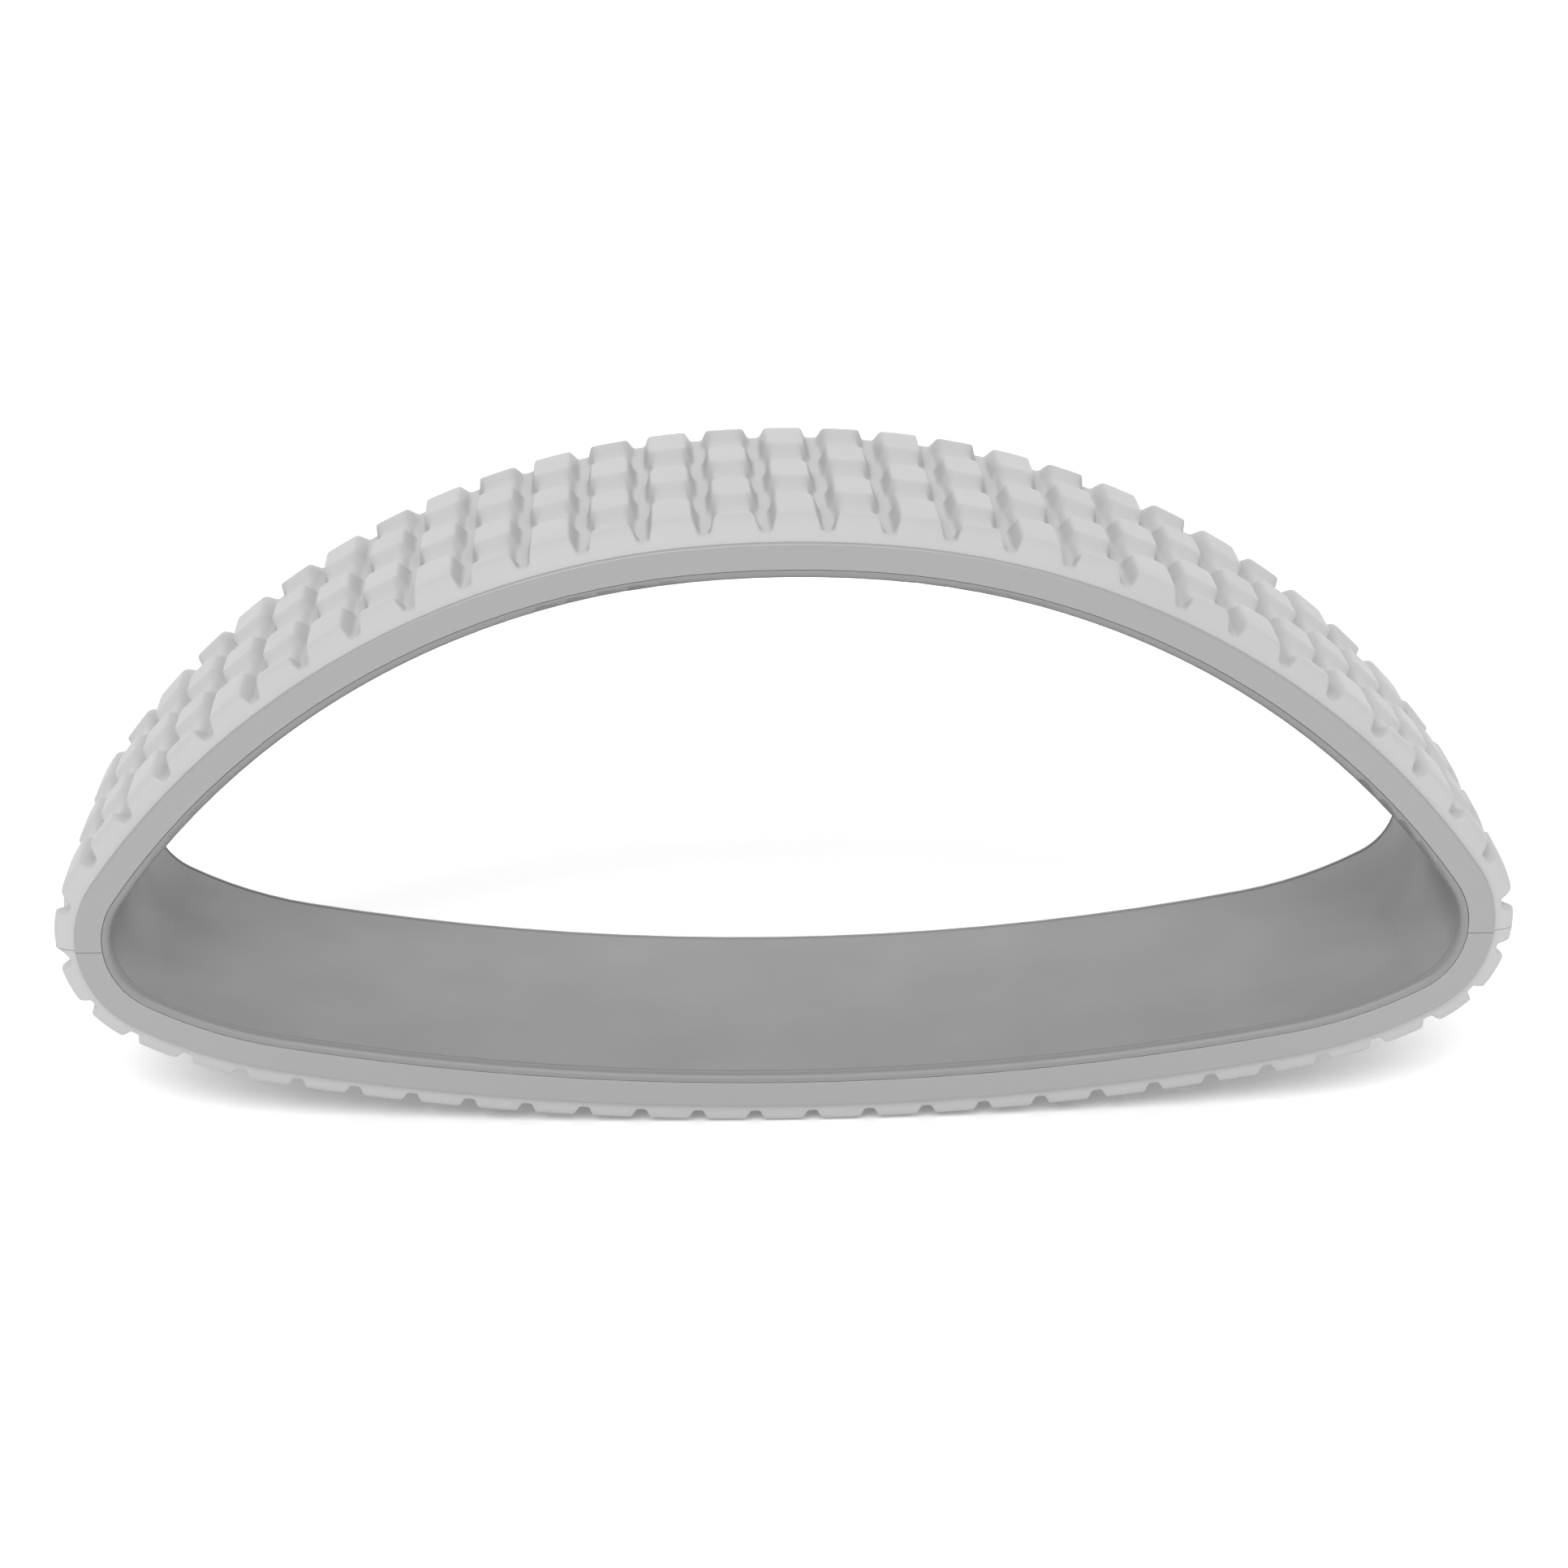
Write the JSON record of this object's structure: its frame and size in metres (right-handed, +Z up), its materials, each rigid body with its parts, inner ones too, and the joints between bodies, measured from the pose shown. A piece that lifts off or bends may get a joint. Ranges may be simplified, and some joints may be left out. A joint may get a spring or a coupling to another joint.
{
  "type": "yoga wheel",
  "caption": "D-shaped yoga hoop for back stretching: a smooth moulded inner band in split outer shells, with a light block tread round the outside.",
  "frame": {"origin": "on the floor under the middle of the base, halfway between the two rims", "axes": "+X along the longest side, to the right seen from the front; +Y into the hoop from the front rim to the rear one; +Z up through the middle of the arch"},
  "size_m": [0.4504, 0.11, 0.1984],
  "materials": {
    "hoop_plastic": "satin moulded ABS, mid grey",
    "shell_plastic": "satin moulded ABS, mid grey",
    "tread_elastomer": "matt thermoplastic elastomer, light grey",
    "key_plastic": "plain moulded nylon, black"
  },
  "bodies": {
    "root": {"inner_hoop": "hoop_plastic", "arch_shell": "shell_plastic", "base_shell": "shell_plastic", "arch_tread": "tread_elastomer", "base_tread": "tread_elastomer", "left_front_key": "key_plastic", "left_rear_key": "key_plastic", "right_front_key": "key_plastic", "right_rear_key": "key_plastic"}
  },
  "joints": []
}
